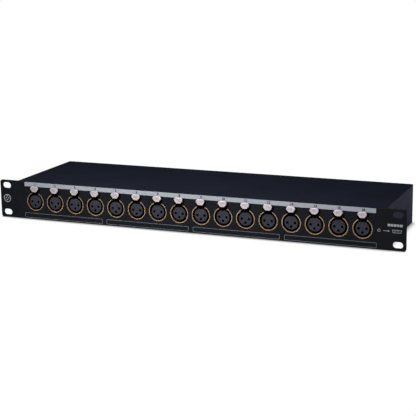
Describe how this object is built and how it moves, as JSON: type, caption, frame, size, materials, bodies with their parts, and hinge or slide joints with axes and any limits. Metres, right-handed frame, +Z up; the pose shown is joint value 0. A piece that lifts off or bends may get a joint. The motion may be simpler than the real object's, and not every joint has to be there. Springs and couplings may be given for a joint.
{
  "type": "rack patch bay",
  "caption": "One-unit rack patch bay with a row of latching 3-pin audio sockets in front, a silver number strip, and 25-way D-sub sockets at the rear.",
  "frame": {"origin": "centre of the four rack slots, on the front panel's rear face", "axes": "+X to the right of someone facing the panel, +Y to the rear, +Z up"},
  "size_m": [0.4826, 0.1344, 0.044],
  "materials": {
    "panel_paint": "satin black powder coat",
    "chassis_paint": "satin blue-black powder coat",
    "cover_paint": "satin blue-black powder coat",
    "label_silver": "matte silver-grey strip",
    "black_screws": "black oxide",
    "plated_steel": "zinc plated",
    "spring_steel": "bare spring steel",
    "latch_metal": "satin nickel",
    "brass_trim": "satin gilt",
    "contact_gold": "gold plated",
    "housing_plastic": "matte moulded",
    "insert_plastic": "matte moulded",
    "board_laminate": "solder-masked glass laminate",
    "dsub_tin": "tin plated",
    "dsub_plastic": "matte moulded"
  },
  "bodies": {
    "chassis": {"front_panel": "panel_paint", "panel_studs": "plated_steel", "panel_nuts": "plated_steel", "label_strip": "label_silver", "chassis_tray": "chassis_paint", "top_cover": "cover_paint", "cover_screws": "black_screws", "bezel_rings": "brass_trim", "contact_inserts": "insert_plastic", "xlr_housing_01": "housing_plastic", "xlr_housing_02": "housing_plastic", "xlr_housing_03": "housing_plastic", "xlr_housing_04": "housing_plastic", "xlr_housing_05": "housing_plastic", "xlr_housing_06": "housing_plastic", "xlr_housing_07": "housing_plastic", "xlr_housing_08": "housing_plastic", "xlr_housing_09": "housing_plastic", "xlr_housing_10": "housing_plastic", "xlr_housing_11": "housing_plastic", "xlr_housing_12": "housing_plastic", "xlr_housing_13": "housing_plastic", "xlr_housing_14": "housing_plastic", "xlr_housing_15": "housing_plastic", "xlr_housing_16": "housing_plastic", "contact_sockets": "contact_gold", "latch_pivot_pins": "plated_steel", "latch_springs": "spring_steel", "circuit_board_left": "board_laminate", "circuit_board_right": "board_laminate", "board_standoffs": "plated_steel", "board_screws": "plated_steel", "dsub_shell_left": "dsub_tin", "dsub_shell_right": "dsub_tin", "dsub_insulator_left": "dsub_plastic", "dsub_insulator_right": "dsub_plastic", "dsub_contacts_left": "contact_gold", "dsub_contacts_right": "contact_gold", "dsub_jackscrews": "plated_steel"},
    "latch_01": {"push_latch_01": "latch_metal"},
    "latch_02": {"push_latch_02": "latch_metal"},
    "latch_03": {"push_latch_03": "latch_metal"},
    "latch_04": {"push_latch_04": "latch_metal"},
    "latch_05": {"push_latch_05": "latch_metal"},
    "latch_06": {"push_latch_06": "latch_metal"},
    "latch_07": {"push_latch_07": "latch_metal"},
    "latch_08": {"push_latch_08": "latch_metal"},
    "latch_09": {"push_latch_09": "latch_metal"},
    "latch_10": {"push_latch_10": "latch_metal"},
    "latch_11": {"push_latch_11": "latch_metal"},
    "latch_12": {"push_latch_12": "latch_metal"},
    "latch_13": {"push_latch_13": "latch_metal"},
    "latch_14": {"push_latch_14": "latch_metal"},
    "latch_15": {"push_latch_15": "latch_metal"},
    "latch_16": {"push_latch_16": "latch_metal"}
  },
  "joints": [
    {"name": "latch_01_push", "type": "hinge", "parent": "chassis", "child": "latch_01", "pos_m": [-0.195, 0.0035, 0.016], "axis": [1, 0, 0], "range_deg": [0, 8], "stiffness_Nm_per_rad": 0.12, "springref_deg": -11.46},
    {"name": "latch_02_push", "type": "hinge", "parent": "chassis", "child": "latch_02", "pos_m": [-0.169, 0.0035, 0.016], "axis": [1, 0, 0], "range_deg": [0, 8], "stiffness_Nm_per_rad": 0.12, "springref_deg": -11.46},
    {"name": "latch_03_push", "type": "hinge", "parent": "chassis", "child": "latch_03", "pos_m": [-0.143, 0.0035, 0.016], "axis": [1, 0, 0], "range_deg": [0, 8], "stiffness_Nm_per_rad": 0.12, "springref_deg": -11.46},
    {"name": "latch_04_push", "type": "hinge", "parent": "chassis", "child": "latch_04", "pos_m": [-0.117, 0.0035, 0.016], "axis": [1, 0, 0], "range_deg": [0, 8], "stiffness_Nm_per_rad": 0.12, "springref_deg": -11.46},
    {"name": "latch_05_push", "type": "hinge", "parent": "chassis", "child": "latch_05", "pos_m": [-0.091, 0.0035, 0.016], "axis": [1, 0, 0], "range_deg": [0, 8], "stiffness_Nm_per_rad": 0.12, "springref_deg": -11.46},
    {"name": "latch_06_push", "type": "hinge", "parent": "chassis", "child": "latch_06", "pos_m": [-0.065, 0.0035, 0.016], "axis": [1, 0, 0], "range_deg": [0, 8], "stiffness_Nm_per_rad": 0.12, "springref_deg": -11.46},
    {"name": "latch_07_push", "type": "hinge", "parent": "chassis", "child": "latch_07", "pos_m": [-0.039, 0.0035, 0.016], "axis": [1, 0, 0], "range_deg": [0, 8], "stiffness_Nm_per_rad": 0.12, "springref_deg": -11.46},
    {"name": "latch_08_push", "type": "hinge", "parent": "chassis", "child": "latch_08", "pos_m": [-0.013, 0.0035, 0.016], "axis": [1, 0, 0], "range_deg": [0, 8], "stiffness_Nm_per_rad": 0.12, "springref_deg": -11.46},
    {"name": "latch_09_push", "type": "hinge", "parent": "chassis", "child": "latch_09", "pos_m": [0.013, 0.0035, 0.016], "axis": [1, 0, 0], "range_deg": [0, 8], "stiffness_Nm_per_rad": 0.12, "springref_deg": -11.46},
    {"name": "latch_10_push", "type": "hinge", "parent": "chassis", "child": "latch_10", "pos_m": [0.039, 0.0035, 0.016], "axis": [1, 0, 0], "range_deg": [0, 8], "stiffness_Nm_per_rad": 0.12, "springref_deg": -11.46},
    {"name": "latch_11_push", "type": "hinge", "parent": "chassis", "child": "latch_11", "pos_m": [0.065, 0.0035, 0.016], "axis": [1, 0, 0], "range_deg": [0, 8], "stiffness_Nm_per_rad": 0.12, "springref_deg": -11.46},
    {"name": "latch_12_push", "type": "hinge", "parent": "chassis", "child": "latch_12", "pos_m": [0.091, 0.0035, 0.016], "axis": [1, 0, 0], "range_deg": [0, 8], "stiffness_Nm_per_rad": 0.12, "springref_deg": -11.46},
    {"name": "latch_13_push", "type": "hinge", "parent": "chassis", "child": "latch_13", "pos_m": [0.117, 0.0035, 0.016], "axis": [1, 0, 0], "range_deg": [0, 8], "stiffness_Nm_per_rad": 0.12, "springref_deg": -11.46},
    {"name": "latch_14_push", "type": "hinge", "parent": "chassis", "child": "latch_14", "pos_m": [0.143, 0.0035, 0.016], "axis": [1, 0, 0], "range_deg": [0, 8], "stiffness_Nm_per_rad": 0.12, "springref_deg": -11.46},
    {"name": "latch_15_push", "type": "hinge", "parent": "chassis", "child": "latch_15", "pos_m": [0.169, 0.0035, 0.016], "axis": [1, 0, 0], "range_deg": [0, 8], "stiffness_Nm_per_rad": 0.12, "springref_deg": -11.46},
    {"name": "latch_16_push", "type": "hinge", "parent": "chassis", "child": "latch_16", "pos_m": [0.195, 0.0035, 0.016], "axis": [1, 0, 0], "range_deg": [0, 8], "stiffness_Nm_per_rad": 0.12, "springref_deg": -11.46}
  ]
}
